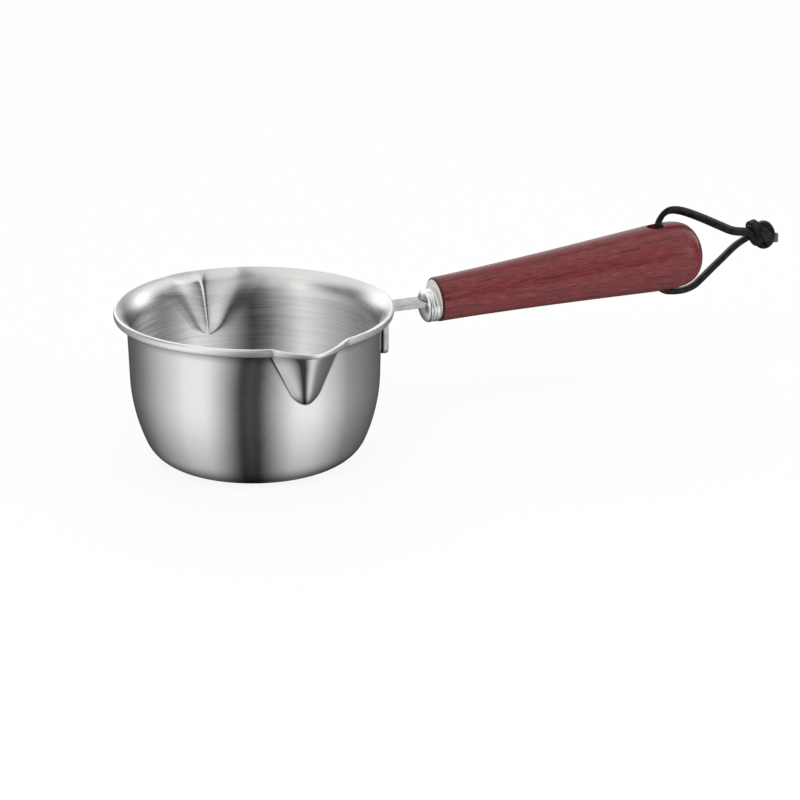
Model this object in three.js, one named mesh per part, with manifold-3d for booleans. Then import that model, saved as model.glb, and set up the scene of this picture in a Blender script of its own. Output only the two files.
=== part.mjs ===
// Butter warmer: a small steel pan with two pouring spouts, a turned wooden handle and a leather
// hanging loop. Millimetres, +Z up. The origin is the centre of the flat base, +X runs along the
// handle, and the spouts point along +Y and -Y.
import * as THREE from 'three';
import { mergeVertices } from 'three/addons/utils/BufferGeometryUtils.js';
import Module from 'manifold-3d';

const { clamp, degToRad, lerp } = THREE.MathUtils;

// Pan, drawn from one sheet of stainless steel: outside sizes
const rimHeight = 62; // base to the crest of the rim
const wallRadius = 49.9; // just under the flare
const wallThickness = 1.2;
const wallLean = degToRad(1.4); // the wall narrows downwards by this angle
const bellyRadius = 69; // long curve of the lower wall
const bellyTurn = degToRad(23.4); // lean of the wall where that curve ends
const cornerRadius = 15.9; // curve from the wall into the flat base
const flareHeight = 6.5; // height of the flared rim
const flareTurn = degToRad(58); // lean of the flare at its upper edge
const crestRadius = 2.2; // curve over the crest of the rim
const lipReach = 1.5; // how far the lip stands outside the crest
const lipDrop = 3.3; // height of the turned-down lip

// Pouring spouts, pressed outwards into a V on both sides
const spoutMouth = 30; // width at the rim
const spoutDepth = 25; // crest of the rim to the point of the V
const spoutShoulder = 4.5; // the V has its full width from here up, measured from the crest
const spoutReach = 3.5; // nose outside the circle of the lip
const spoutDip = 2.4; // nose below the crest of the rim
const spoutTipWidth = 3; // width of the rounded point of the V
const spoutRoundness = 0.5; // 0 is a sharp fold, a larger value is a rounder nose

// Strap, one bent steel strip: a plate on the wall, a bar and a tang in the wood
const strapThickness = 2.2;
const strapWidth = 9;
const strapBend = 1; // inside radius of the bend between plate and bar
const plateWidth = 23;
const plateHeight = 17.5; // top of the bar to the foot of the plate
const plateCorner = 3; // rounding of the plate's lower corners
const barDrop = 5.8; // crest of the rim to the top of the bar
const barLength = 20.3; // plate to the knee where the strap turns up into the handle
const tangLength = 50; // knee to the end inside the wood

// Ferrule, a pressed steel cap with a slot for the strap
const ferruleDiameter = 13.4;
const ferruleLength = 6.1;
const ferruleDome = 1.8; // depth of the rounded front
const ferruleWall = 1;
const ferruleStart = 0.2; // knee of the strap to the front of the cap
const ferruleDrop = 2; // the cap sits below the middle of the wood
const collarLength = 1.3; // raised edge of the cap beside the wood
const collarRise = 0.4;

// Handle, turned from one piece of wood
const handleTilt = degToRad(3.7); // rise of the handle away from the pan
const handleLength = 120.1;
const handleSmallDiameter = 18.1;
const handleTaperDiameter = 30.9; // where the taper would end without the rounding
const handleTaperPower = 1.32; // 1 is a straight cone, a larger value swells later
const handleEdge = 0.8; // rounding of the small end
const endRound = 4.9; // rounding of the big end: it starts softly over about four times this length
const boreDiameter = 6.4; // hole for the hanging loop
const boreFromEnd = 19.2;

// Hanging loop, a leather lace through the bore, knotted behind the handle
const cordDiameter = 3.2;
const cordSides = 8;
const cordSteps = 14; // steps along each free stretch
const boreStretchInset = 0.9; // the lace's ends inside the bore stay this far below its mouths
const knotCore = new THREE.Vector3(6.6, 4.8, 5.7); // half sizes of the knot's core
const knotWrapRadius = 4.7; // middle of the turn that wraps the knot
const knotPlace = new THREE.Vector3(49.4, 0, 1.7); // seen from the middle of the bore
const knotWrapLean = degToRad(24);
const tailLength = 2.7; // cut ends of the lace beyond the knot
const tailSpread = 1.8; // each tail beside the middle of the knot
const tailDrop = 2.8; // tails below the middle of the knot

const clearance = 0.3; // between pieces that are fitted together

// Values that follow from the sizes above
const flareStart = rimHeight - flareHeight;
const lipUnder = rimHeight - lipDrop;
const spoutTip = rimHeight - spoutDepth;
const flareRadius = (flareHeight - crestRadius + (crestRadius - wallThickness) * Math.sin(flareTurn))
  / (Math.sin(flareTurn) - Math.sin(wallLean));
const flareCentre = new THREE.Vector2(
  wallRadius + flareRadius * Math.cos(wallLean),
  flareStart - flareRadius * Math.sin(wallLean),
);
const flareEndOutside = Math.asin((lipUnder - flareCentre.y) / flareRadius);
const crestAt = flareCentre.x - (flareRadius + wallThickness - crestRadius) * Math.cos(flareTurn);
const lipRadius = crestAt + lipReach;
const wallFoot = cornerRadius * (1 - Math.sin(bellyTurn))
  + bellyRadius * (Math.sin(bellyTurn) - Math.sin(wallLean));
const wallFootRadius = wallRadius - (flareStart - wallFoot) * Math.tan(wallLean);
const bellyCentre = new THREE.Vector2(
  wallFootRadius - bellyRadius * Math.cos(wallLean),
  wallFoot + bellyRadius * Math.sin(wallLean),
);
const cornerCentre = new THREE.Vector2(
  bellyCentre.x + (bellyRadius - cornerRadius) * Math.cos(bellyTurn),
  cornerRadius,
);
const plateInside = wallRadius + clearance;
const barTop = rimHeight - barDrop;
const barMiddle = barTop - strapThickness / 2;
const kneeAt = plateInside + barLength;
const handleStart = ferruleStart + ferruleLength + clearance;
const boreAt = handleStart + handleLength - boreFromEnd;
const boreMouth = handleRadius(handleLength - boreFromEnd); // middle of the wood to the ends of the bore

const wasm = await Module();
wasm.setup();

// Radius of the wood at a distance from its small end
function handleRadius(along) {
  const taper = (along / handleLength) ** handleTaperPower;
  const round = Math.sqrt(1 - Math.exp((along - handleLength) / endRound));
  return lerp(handleSmallDiameter, handleTaperDiameter, taper) / 2 * round;
}

// Joins the shared corners of a geometry and drops the triangles that collapse at an axis
function welded(geometry) {
  const bare = geometry.clone();
  for (const name of Object.keys(bare.attributes)) {
    if (name !== 'position') bare.deleteAttribute(name);
  }
  const merged = mergeVertices(bare, 1e-4);
  const kept = [];
  for (let i = 0; i < merged.index.count; i += 3) {
    const corners = [0, 1, 2].map((k) => merged.index.getX(i + k));
    if (new Set(corners).size === 3) kept.push(...corners);
  }
  merged.setIndex(kept);
  merged.computeVertexNormals();
  return merged;
}

function toSolid(geometry) {
  const closed = welded(geometry);
  return new wasm.Manifold(new wasm.Mesh({
    numProp: 3,
    vertProperties: new Float32Array(closed.attributes.position.array),
    triVerts: new Uint32Array(closed.index.array),
  }));
}

function toGeometry(solid) {
  const { vertProperties, triVerts } = solid.getMesh();
  const geometry = new THREE.BufferGeometry();
  geometry.setAttribute('position', new THREE.BufferAttribute(vertProperties, 3));
  geometry.setIndex(new THREE.BufferAttribute(triVerts, 1));
  geometry.computeVertexNormals();
  return geometry;
}

// Points of an arc: angles are those of the outward normal, from straight down to level
function arc(centre, radius, from, to, steps) {
  const points = [];
  for (let i = 0; i <= steps; i += 1) {
    const angle = lerp(from, to, i / steps);
    points.push(new THREE.Vector2(
      centre.x + radius * Math.cos(angle),
      centre.y + radius * Math.sin(angle),
    ));
  }
  return points;
}

// Outside radius of the plain wall at a height between the base and the underside of the lip
function outsideRadius(z) {
  if (z >= flareStart) {
    return flareCentre.x - Math.sqrt(flareRadius ** 2 - (z - flareCentre.y) ** 2);
  }
  if (z >= wallFoot) return wallRadius - (flareStart - z) * Math.tan(wallLean);
  return bellyCentre.x + Math.sqrt(bellyRadius ** 2 - (z - bellyCentre.y) ** 2);
}

// One face of the sheet from the base up to the end of the flare; inset is 0 on the outside
function sheetFace(inset, flareEnd) {
  const wallRows = 5;
  const across = new THREE.Vector2(Math.cos(wallLean), -Math.sin(wallLean)).multiplyScalar(inset);
  const wallLow = new THREE.Vector2(wallFootRadius, wallFoot).sub(across);
  const wallHigh = new THREE.Vector2(wallRadius, flareStart).sub(across);
  const wall = [];
  for (let i = 1; i < wallRows; i += 1) wall.push(wallLow.clone().lerp(wallHigh, i / wallRows));
  return [
    new THREE.Vector2(0, inset),
    ...arc(cornerCentre, cornerRadius - inset, -Math.PI / 2, -bellyTurn, 5),
    ...arc(bellyCentre, bellyRadius - inset, -bellyTurn, -wallLean, 4).slice(1),
    ...wall,
    ...arc(flareCentre, -(flareRadius + inset), -wallLean, -flareEnd, 4),
  ];
}

// Turned-down lip: from its underside round the outer edge and over the crest to the flare
function lipFace() {
  const middle = rimHeight - lipDrop / 2;
  const outer = [];
  const steps = 6;
  for (let i = 0; i <= steps; i += 1) {
    const angle = lerp(-Math.PI / 2, Math.PI / 2, i / steps);
    outer.push(new THREE.Vector2(
      crestAt + lipReach * Math.cos(angle),
      middle + (lipDrop / 2) * Math.sin(angle),
    ));
  }
  const crestCentre = new THREE.Vector2(crestAt, rimHeight - crestRadius);
  const crest = arc(crestCentre, crestRadius, Math.PI / 2, Math.PI - flareTurn, 2);
  return [...outer, ...crest.slice(1, -1)];
}

// Share of the nose's push across a spout, from 1 in the middle to 0 at the edges of the V
function spoutShare(across) {
  const rounded = Math.hypot(across, spoutRoundness) - spoutRoundness;
  return 1 - rounded / (Math.hypot(1, spoutRoundness) - spoutRoundness);
}

// How far the nose of a spout stands outside the plain wall at a height
function spoutPush(z) {
  if (z <= spoutTip) return 0;
  const level = Math.min(z, lipUnder);
  const along = (level - spoutTip) / (lipUnder - spoutTip);
  const nose = lerp(outsideRadius(spoutTip), outsideRadius(lipUnder) + spoutReach, along);
  return nose - outsideRadius(level);
}

// Half angle of the V at a height; below its point the columns of the skin fan out again
function spoutHalfAngle(z) {
  const tip = Math.asin(spoutTipWidth / 2 / wallRadius);
  const mouth = Math.asin(spoutMouth / 2 / lipRadius);
  const share = Math.abs(z - spoutTip) / (spoutDepth - spoutShoulder);
  return lerp(tip, mouth, Math.min(share, 1));
}

function panBody() {
  const spoutColumns = [-1, -0.72, -0.44, -0.2, 0, 0.2, 0.44, 0.72];
  const plainColumns = 22;
  const rows = [
    ...sheetFace(0, flareEndOutside),
    ...lipFace(),
    ...sheetFace(wallThickness, flareTurn).reverse(),
  ];
  const columns = [];
  for (const spoutAxis of [-Math.PI / 2, Math.PI / 2]) {
    for (const across of spoutColumns) columns.push({ spoutAxis, across, share: spoutShare(across) });
    for (let i = 0; i < plainColumns; i += 1) columns.push({ spoutAxis, plain: i / plainColumns, share: 0 });
  }
  const positions = [];
  for (const row of rows) {
    const half = spoutHalfAngle(row.y);
    const rise = clamp((row.y - spoutTip) / spoutDepth, 0, 1);
    for (const { spoutAxis, across, plain, share } of columns) {
      const turn = across === undefined ? lerp(half, Math.PI - half, plain) : across * half;
      const radius = row.x === 0 ? 0 : row.x + spoutPush(row.y) * share;
      const height = row.y - spoutDip * rise * share;
      positions.push(radius * Math.cos(spoutAxis + turn), radius * Math.sin(spoutAxis + turn), height);
    }
  }
  const index = [];
  for (let i = 0; i + 1 < rows.length; i += 1) {
    for (let j = 0; j < columns.length; j += 1) {
      const next = (j + 1) % columns.length;
      const [a, b] = [i * columns.length + j, i * columns.length + next];
      const [c, d] = [a + columns.length, b + columns.length];
      index.push(a, b, d, a, d, c);
    }
  }
  const geometry = new THREE.BufferGeometry();
  geometry.setAttribute('position', new THREE.Float32BufferAttribute(positions, 3));
  geometry.setIndex(index);
  return welded(geometry);
}

// A flat shape drawn in X and Z, given a width along Y about the middle plane
function acrossY(shape, width) {
  const geometry = new THREE.ExtrudeGeometry(shape, { depth: width, bevelEnabled: false, curveSegments: 6 });
  geometry.rotateX(Math.PI / 2);
  geometry.translate(0, width / 2, 0);
  return geometry;
}

function strapBar() {
  const outside = strapBend + strapThickness;
  const bendX = plateInside + outside;
  const bendZ = barTop - outside;
  const foot = barTop - outside - strapThickness;
  const half = strapThickness / 2;
  const mitre = half * Math.tan(handleTilt / 2);
  const tip = new THREE.Vector2(Math.cos(handleTilt), Math.sin(handleTilt)).multiplyScalar(tangLength);
  const side = new THREE.Vector2(-Math.sin(handleTilt), Math.cos(handleTilt)).multiplyScalar(half);
  const shape = new THREE.Shape();
  shape.moveTo(plateInside, foot);
  shape.lineTo(plateInside, bendZ);
  shape.absarc(bendX, bendZ, outside, Math.PI, Math.PI / 2, true);
  shape.lineTo(kneeAt - mitre, barTop);
  shape.lineTo(kneeAt + tip.x + side.x, barMiddle + tip.y + side.y);
  shape.lineTo(kneeAt + tip.x - side.x, barMiddle + tip.y - side.y);
  shape.lineTo(kneeAt + mitre, barTop - strapThickness);
  shape.lineTo(bendX, barTop - strapThickness);
  shape.absarc(bendX, bendZ, strapBend, Math.PI / 2, Math.PI, false);
  shape.lineTo(plateInside + strapThickness, foot);
  shape.closePath();
  return acrossY(shape, strapWidth);
}

function strapPlate() {
  const half = plateWidth / 2;
  const high = barTop - strapBend - strapThickness;
  const low = barTop - plateHeight;
  const shape = new THREE.Shape();
  shape.moveTo(half, high);
  shape.lineTo(-half, high);
  shape.lineTo(-half, low + plateCorner);
  shape.absarc(-half + plateCorner, low + plateCorner, plateCorner, Math.PI, 1.5 * Math.PI, false);
  shape.lineTo(half - plateCorner, low);
  shape.absarc(half - plateCorner, low + plateCorner, plateCorner, -0.5 * Math.PI, 0, false);
  shape.closePath();
  const geometry = new THREE.ExtrudeGeometry(shape, {
    depth: strapThickness,
    bevelEnabled: false,
    curveSegments: 5,
  });
  geometry.rotateX(Math.PI / 2);
  geometry.rotateZ(Math.PI / 2);
  geometry.translate(plateInside, 0, 0);
  return geometry;
}

function handleStrap() {
  return toGeometry(toSolid(strapBar()).add(toSolid(strapPlate())));
}

// A profile of radius and length turned about the X axis
function turned(profile, segments) {
  const geometry = new THREE.LatheGeometry(profile, segments);
  geometry.rotateZ(-Math.PI / 2);
  return geometry;
}

// Space round the strap inside the ferrule and the wood
function strapSlot(from, to) {
  const slot = new THREE.BoxGeometry(
    to - from,
    strapWidth + 2 * clearance,
    strapThickness + 2 * clearance,
  );
  slot.translate((from + to) / 2, 0, 0);
  return toSolid(slot);
}

function ferruleCap() {
  const radius = ferruleDiameter / 2;
  const inside = radius - ferruleWall;
  const steps = 5;
  const profile = [];
  for (let i = 0; i <= steps; i += 1) {
    const angle = (i / steps) * (Math.PI / 2);
    profile.push(new THREE.Vector2(radius * Math.sin(angle), ferruleDome * (1 - Math.cos(angle))));
  }
  profile.push(new THREE.Vector2(radius, ferruleLength - collarLength));
  profile.push(new THREE.Vector2(radius + collarRise, ferruleLength - collarLength));
  profile.push(new THREE.Vector2(radius + collarRise, ferruleLength));
  profile.push(new THREE.Vector2(inside, ferruleLength));
  for (let i = steps; i >= 0; i -= 1) {
    const angle = (i / steps) * (Math.PI / 2);
    const depth = (ferruleDome - ferruleWall / 2) * (1 - Math.cos(angle));
    profile.push(new THREE.Vector2(inside * Math.sin(angle), ferruleWall + depth));
  }
  const cap = turned(profile, 28);
  cap.translate(ferruleStart, 0, -ferruleDrop);
  return toGeometry(toSolid(cap).subtract(strapSlot(-ferruleLength, ferruleStart + ferruleDome)));
}

function woodHandle() {
  const sideRows = 9;
  const roundRows = 9;
  const roundFrom = degToRad(80); // slope angle where the rows of the rounded end begin
  const roundAt = (angle) => handleLength + 2 * endRound * Math.log(Math.cos(angle));
  const side = roundAt(roundFrom);
  const profile = [
    new THREE.Vector2(0, 0),
    new THREE.Vector2(handleRadius(handleEdge) - handleEdge, 0),
  ];
  for (let i = 0; i < sideRows; i += 1) {
    const along = lerp(handleEdge, side, i / sideRows);
    profile.push(new THREE.Vector2(handleRadius(along), along));
  }
  for (let i = 0; i < roundRows; i += 1) {
    const along = roundAt(roundFrom * (1 - i / roundRows));
    profile.push(new THREE.Vector2(handleRadius(along), along));
  }
  profile.push(new THREE.Vector2(0, handleLength));
  const wood = turned(profile, 36);
  wood.translate(handleStart, 0, 0);
  const bore = new THREE.CylinderGeometry(boreDiameter / 2, boreDiameter / 2, 4 * boreMouth, 20);
  bore.rotateX(Math.PI / 2);
  bore.translate(boreAt, 0, 0);
  const slot = strapSlot(handleStart - ferruleLength, tangLength + clearance);
  return toGeometry(toSolid(wood).subtract(slot).subtract(toSolid(bore)));
}

// A length of lace along points measured from the middle of the bore
function lace(points, steps) {
  const section = new THREE.Shape();
  for (let i = 0; i < cordSides; i += 1) {
    const angle = ((i + 0.5) / cordSides) * 2 * Math.PI;
    const corner = [Math.cos(angle), Math.sin(angle)].map((v) => (v * cordDiameter) / 2);
    if (i === 0) section.moveTo(...corner);
    else section.lineTo(...corner);
  }
  section.closePath();
  const route = new THREE.CatmullRomCurve3(points.map((p) => new THREE.Vector3(...p)));
  return new THREE.ExtrudeGeometry(section, { steps, bevelEnabled: false, extrudePath: route });
}

// The lace lies against the outer side of its bore, and turns out of both mouths
const boreSide = (boreDiameter - cordDiameter) / 2 - clearance;
const boreEnd = boreMouth - boreStretchInset;
const stretchStart = boreEnd + clearance;

const upperRoute = [
  [boreSide, 0, stretchStart],
  [1.5, 0, 14.8],
  [2.6, 0, 16.8],
  [4.3, 0, 18.5],
  [7, 0, 19.4],
  [11.2, -0.1, 18.7],
  [16.6, -0.2, 16.4],
  [23.6, -0.4, 12.7],
  [30.1, -0.6, 9],
  [36.1, -0.9, 5.8],
  [42.9, -1.2, 4.1],
];

const lowerRoute = [
  [boreSide, 0, -stretchStart],
  [boreSide, 0, -14.4],
  [1.9, 0, -15.6],
  [3.6, 0, -16.1],
  [8.8, 0, -16.3],
  [13.2, 0.1, -16.4],
  [17.7, 0.2, -15.3],
  [22.1, 0.3, -12.5],
  [26.6, 0.5, -9.4],
  [32.2, 0.7, -5.6],
  [37.8, 1, -1.9],
  [42.5, 1.2, 0.2],
];

// The lace's two legs tied together: a core, a turn round it and the two cut ends
function cordKnot() {
  const core = new THREE.SphereGeometry(1, 14, 10);
  core.scale(knotCore.x, knotCore.y, knotCore.z);
  const wrap = new THREE.TorusGeometry(knotWrapRadius, cordDiameter / 2, cordSides, 18);
  wrap.rotateY(Math.PI / 2 + knotWrapLean);
  let knot = toSolid(core).add(toSolid(wrap));
  for (const side of [-tailSpread, tailSpread]) {
    const cutEnd = [knotCore.x + tailLength, side, -tailDrop];
    knot = knot.add(toSolid(lace([[0, side, -tailDrop / 2], cutEnd], 1)));
  }
  const geometry = toGeometry(knot);
  geometry.translate(...knotPlace);
  return geometry;
}

const steel = new THREE.MeshStandardMaterial({ color: 0xc9c9c7, roughness: 0.28, metalness: 1 });
const rosewood = new THREE.MeshStandardMaterial({ color: 0x70302c, roughness: 0.42, metalness: 0 });
const leather = new THREE.MeshStandardMaterial({ color: 0x1b1a19, roughness: 0.65, metalness: 0 });

function piece(name, geometry, material) {
  const mesh = new THREE.Mesh(geometry, material);
  mesh.name = name;
  return mesh;
}

const hangingLoop = new THREE.Group();
hangingLoop.position.set(boreAt, 0, 0);
hangingLoop.add(
  piece('cord_bore_stretch', lace([[boreSide, 0, boreEnd], [boreSide, 0, -boreEnd]], 2), leather),
  piece('cord_upper_stretch', lace(upperRoute, cordSteps), leather),
  piece('cord_lower_stretch', lace(lowerRoute, cordSteps), leather),
  piece('cord_knot', cordKnot(), leather),
);

const handle = new THREE.Group();
handle.position.set(kneeAt, 0, barMiddle);
handle.rotation.y = -handleTilt;
handle.add(
  piece('ferrule', ferruleCap(), steel),
  piece('wood_handle', woodHandle(), rosewood),
  hangingLoop,
);

const butterWarmer = new THREE.Group();
butterWarmer.add(
  piece('pan_body', panBody(), steel),
  piece('handle_strap', handleStrap(), steel),
  handle,
);

export default butterWarmer;
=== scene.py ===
"""Butter warmer: a drawn steel pan, its strap, ferrule and wooden handle, and a leather hanging lace.

All sizes are in metres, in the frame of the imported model: the base stands on Z = 0 and the handle runs
along +X.
"""

from math import asin, cos, exp, log, pi, radians, sin, sqrt, tan
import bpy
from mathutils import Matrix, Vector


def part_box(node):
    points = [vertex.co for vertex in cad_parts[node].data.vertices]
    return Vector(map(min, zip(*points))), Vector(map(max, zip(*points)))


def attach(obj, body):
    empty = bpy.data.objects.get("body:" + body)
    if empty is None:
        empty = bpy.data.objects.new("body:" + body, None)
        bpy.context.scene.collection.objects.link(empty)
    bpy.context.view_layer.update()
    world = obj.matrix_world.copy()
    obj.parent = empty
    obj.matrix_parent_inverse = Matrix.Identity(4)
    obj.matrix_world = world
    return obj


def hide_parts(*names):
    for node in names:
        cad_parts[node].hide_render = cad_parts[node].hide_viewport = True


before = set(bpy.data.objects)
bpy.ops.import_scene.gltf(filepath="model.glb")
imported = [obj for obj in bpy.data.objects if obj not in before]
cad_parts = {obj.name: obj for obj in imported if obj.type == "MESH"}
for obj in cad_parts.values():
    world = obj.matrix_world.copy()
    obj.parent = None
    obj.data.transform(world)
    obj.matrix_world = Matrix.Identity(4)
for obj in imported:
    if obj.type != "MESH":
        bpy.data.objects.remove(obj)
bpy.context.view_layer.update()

from types import SimpleNamespace

import bpy
import numpy as np
from bpy.props import FloatProperty, FloatVectorProperty, PointerProperty
from bpy.types import Operator, Panel, PropertyGroup
from mathutils import Matrix, Vector

bl_info = {
    "name": "Butter Warmer",
    "version": (1, 0, 0),
    "blender": (4, 5, 0),
    "location": "View3D > Sidebar > Butter Warmer",
    "description": "Builds a small steel pan with a wooden handle around its packed frame",
    "category": "Add Mesh",
}

CLEARANCE = 0.0003  # between pieces that are fitted together
PAN_BODY = "pan"
LOOP_BODY = "hanging_loop"


def linear_rgb(hex_colour):
    """Linear values of an sRGB colour written as #rrggbb."""
    channels = [int(hex_colour[i:i + 2], 16) / 255 for i in (1, 3, 5)]
    return tuple(c / 12.92 if c <= 0.04045 else ((c + 0.055) / 1.055) ** 2.4 for c in channels)


def distance(name, default, description):
    return FloatProperty(name=name, description=description, default=default,
                         subtype="DISTANCE", unit="LENGTH", precision=4)


def turn(name, degrees, description):
    return FloatProperty(name=name, description=description, default=radians(degrees),
                         subtype="ANGLE", unit="ROTATION")


def share(name, default, description):
    return FloatProperty(name=name, description=description, default=default)


def colour(name, hex_colour, description):
    return FloatVectorProperty(name=name, description=description, default=linear_rgb(hex_colour),
                               subtype="COLOR", size=3, min=0, max=1)


class PanSizes(PropertyGroup):
    """Outside sizes of the pan, drawn from one sheet."""

    rim_height: distance("Rim height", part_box("pan_body")[1].z, "Base to the crest of the rim")
    wall_radius: distance("Wall radius", 0.0499, "Outside of the wall just under the flare")
    wall_thickness: distance("Wall thickness", 0.0012, "Thickness of the sheet")
    wall_lean: turn("Wall lean", 1.4, "The wall narrows downwards by this angle")
    belly_radius: distance("Belly radius", 0.069, "Long curve of the lower wall")
    belly_turn: turn("Belly turn", 23.4, "Lean of the wall where the long curve ends")
    corner_radius: distance("Corner radius", 0.0148, "Curve from the wall into the base")
    flare_height: distance("Flare height", 0.008, "Height of the flared rim")
    flare_turn: turn("Flare turn", 65, "Lean of the flare at its upper edge")
    crest_radius: distance("Crest radius", 0.001, "Curve over the crest of the rim")
    lip_reach: distance("Lip reach", 0.0007, "How far the lip stands outside the crest")
    lip_drop: distance("Lip drop", 0.0033, "Height of the turned-down lip")
    lip_squareness: share("Lip squareness", 2.1, "2 is a round lip, a larger value a flatter band")
    buffed_height: distance("Buffed height", 0.0095, "Crest of the rim to where the brush lines begin")
    nose_lip_lift: distance("Nose lip lift", 0.0012, "The underside of the lip rises by this much at a nose")
    spout_mouth: distance("Spout mouth", 0.030, "Width of a spout at the rim")
    spout_depth: distance("Spout depth", 0.0256, "Crest of the rim to the point of the V")
    spout_reach: distance("Spout reach", 0.006, "Nose outside the circle of the lip")
    spout_dip: distance("Spout dip", 0.0018, "Nose below the crest of the rim")
    spout_tip_width: distance("Spout tip width", 0.008, "Width of the rounded point of the V")
    spout_ridge: distance("Spout ridge", 0.0035, "Rounding of the ridge outside: 0 is a sharp fold")
    spout_turn: turn("Spout turn", 3.4, "The spouts are this much off a right angle to the handle")
    spout_crease: distance("Spout crease", 0.0008, "Rounding of the ridge seen from inside")
    spout_crease_depth: distance("Spout crease depth", 0.004, "Rim to where the crease is sharpest")
    spout_inner_fillet: share("Spout inner fillet", 0.4, "Softness of the spout's borders inside")
    spout_inner_set: share("Spout inner set", 0.15, "The borders inside lie this share nearer to the ridge")
    spout_lean: share("Spout lean", 0.1, "The ridge lies this share of the half width to one side")
    spout_skew: turn("Spout skew", -20, "The noses are pressed this much to one side")
    spout_shoulder: distance("Spout shoulder", 0.0045, "The V has its full width from here up to the crest")
    spout_tip_round: distance("Spout tip round", 0.005, "Height of the rounded end of the V")
    spout_start: share("Spout start", 0.5, "Share of the nose's reach that is gained right above the point")
    rim_swell: distance("Rim swell", 0.0022, "The rim bulges outwards by this much towards a spout")
    rim_swell_reach: turn("Rim swell reach", 62, "How far that bulge reaches round the rim to either side")
    spout_fillet: share("Spout fillet", 0.03, "Softness of the folds at the edges of the V")


class StrapSizes(PropertyGroup):
    """Sizes of the bent steel strip between pan and handle."""

    thickness: distance("Thickness", 0.0022, "Thickness of the strip")
    width: distance("Width", 0.009, "Width of the bar and tang")
    bend: distance("Bend", 0.001, "Inside radius between plate and bar")
    edge: distance("Edge", 0.0004, "Rounding of the blanked edges")
    plate_width: distance("Plate width", 0.023, "Width of the plate on the wall")
    plate_height: distance("Plate height", 0.0175, "Top of the bar to the foot of the plate")
    plate_corner: distance("Plate corner", 0.003, "Rounding of the plate's lower corners")
    bar_drop: distance("Bar drop", 0.0058, "Crest of the rim to the top of the bar")
    bar_length: distance("Bar length", 0.0203, "Plate to the knee where the strap turns up")
    tang_length: distance("Tang length", 0.05, "Knee to the end inside the wood")
    weld_diameter: distance("Weld diameter", 0.0046, "Dent of a spot weld in the plate")
    weld_depth: distance("Weld depth", 0.0004, "Depth of a spot weld's dent")
    weld_spread: distance("Weld spread", 0.0068, "Each weld beside the middle of the plate")
    weld_height: distance("Weld height", 0.0105, "Top of the bar to the middle of the welds")


class FerruleSizes(PropertyGroup):
    """Sizes of the pressed cap where the strap enters the handle."""

    diameter: distance("Diameter", 0.0134, "Outside of the cap")
    length: distance("Length", 0.0061, "Front of the cap to the wood")
    dome: distance("Dome", 0.0026, "Depth of the rounded front")
    wall: distance("Wall", 0.001, "Thickness of the cap")
    start: distance("Start", 0.0002, "Knee of the strap to the front of the cap")
    drop: distance("Drop", 0.002, "The cap sits this much below the middle of the wood")
    collar_length: distance("Collar length", 0.0013, "Raised edge of the cap beside the wood")
    collar_rise: distance("Collar rise", 0.00012, "Height of the raised edge")
    groove_depth: distance("Groove depth", 0.0004, "Rolled groove where the dome ends")


class HandleSizes(PropertyGroup):
    """Sizes of the turned wooden handle."""

    tilt: turn("Tilt", 3.7, "Rise of the handle away from the pan")
    length: distance("Length", 0.1201, "Length of the wood")
    small_diameter: distance("Small diameter", 0.0181, "Width at the ferrule")
    taper_diameter: distance("Taper diameter", 0.0309, "Where the taper would end without the rounding")
    taper_power: share("Taper power", 1.32, "1 is a straight cone, a larger value swells later")
    edge: distance("Edge", 0.0008, "Rounding of the small end")
    end_round: distance("End round", 0.0049, "Rounding of the big end")
    bore_diameter: distance("Bore diameter", 0.007, "Hole for the hanging lace")
    bore_ease: distance("Bore ease", 0.001, "Rounding of the hole's edges, where the lace bends")
    bore_from_end: distance("Bore from end", 0.0192, "Middle of the hole to the big end")


class LaceSizes(PropertyGroup):
    """Sizes of the leather lace and its knot."""

    width: distance("Width", 0.0033, "Wide side of the lace")
    thickness: distance("Thickness", 0.0024, "Narrow side of the lace")
    corner: distance("Corner", 0.0005, "Rounding of the lace's edges")
    band_width: distance("Band width", 0.0042, "Width of the lace where it is pulled flat over the knot")
    band_thickness: distance("Band thickness", 0.002, "Thickness of the lace over the knot")
    tail_width: distance("Tail width", 0.0024, "Width of the cut ends")
    tail_height: distance("Tail height", 0.0038, "Height of the cut ends")


class Finishes(PropertyGroup):
    """Colours of the materials."""

    steel: colour("Steel", "#dcdcda", "Stainless steel")
    # painted highlight: a lighter copy of the steel tone, brighter than stainless steel really reflects, so
    # that the lip and the cap render brighter
    lip: colour("Lip steel", "#f4f4f2", "Stainless steel, rolled, in a painted brighter tone")
    strip: colour("Steel strip", "#b8b8b6", "Stainless strip of the strap")
    # painted shade: a dark colour that stands in for the shadow in the gap between the strap's plate and the
    # pan's wall
    scale: colour("Painted gap shade", "#2b2a29", "Painted shade of the gap between the plate and the wall")
    wood: colour("Wood", "#712b2e", "Ground colour of the red-brown hardwood")
    wood_dark: colour("Wood dark", "#4e1e20", "Dark growth lines and pores")
    wood_light: colour("Wood light", "#854242", "Pale streaks along the grain")
    wood_end: colour("Wood end", "#fbf5f1", "Bare end grain at the small end")
    leather: colour("Leather", "#0a0a0a", "Black dyed leather")
    leather_cut: colour("Cut leather", "#5b5a59", "Paler cut end of the lace")
    floor: colour("Floor", "#ffffff", "White studio paper")


class StudioSizes(PropertyGroup):
    """Camera and light."""

    camera_distance: distance("Camera distance", 1.0, "Camera to the middle of the rim")
    camera_azimuth: turn("Camera azimuth", -19.2, "Camera round the pan, 0 looks along +Y")
    camera_elevation: turn("Camera elevation", 17.0, "Camera above the rim")
    camera_heading: turn("Camera heading", -22.63, "Direction that the camera looks in, about Z")
    camera_pitch: turn("Camera pitch", 19.15, "How far the camera looks down")
    focal_length: FloatProperty(name="Focal length", description="Lens of the camera, in millimetres",
                                default=114.5, unit="CAMERA")
    floor_size: distance("Floor size", 6.0, "Side of the floor")


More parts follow.
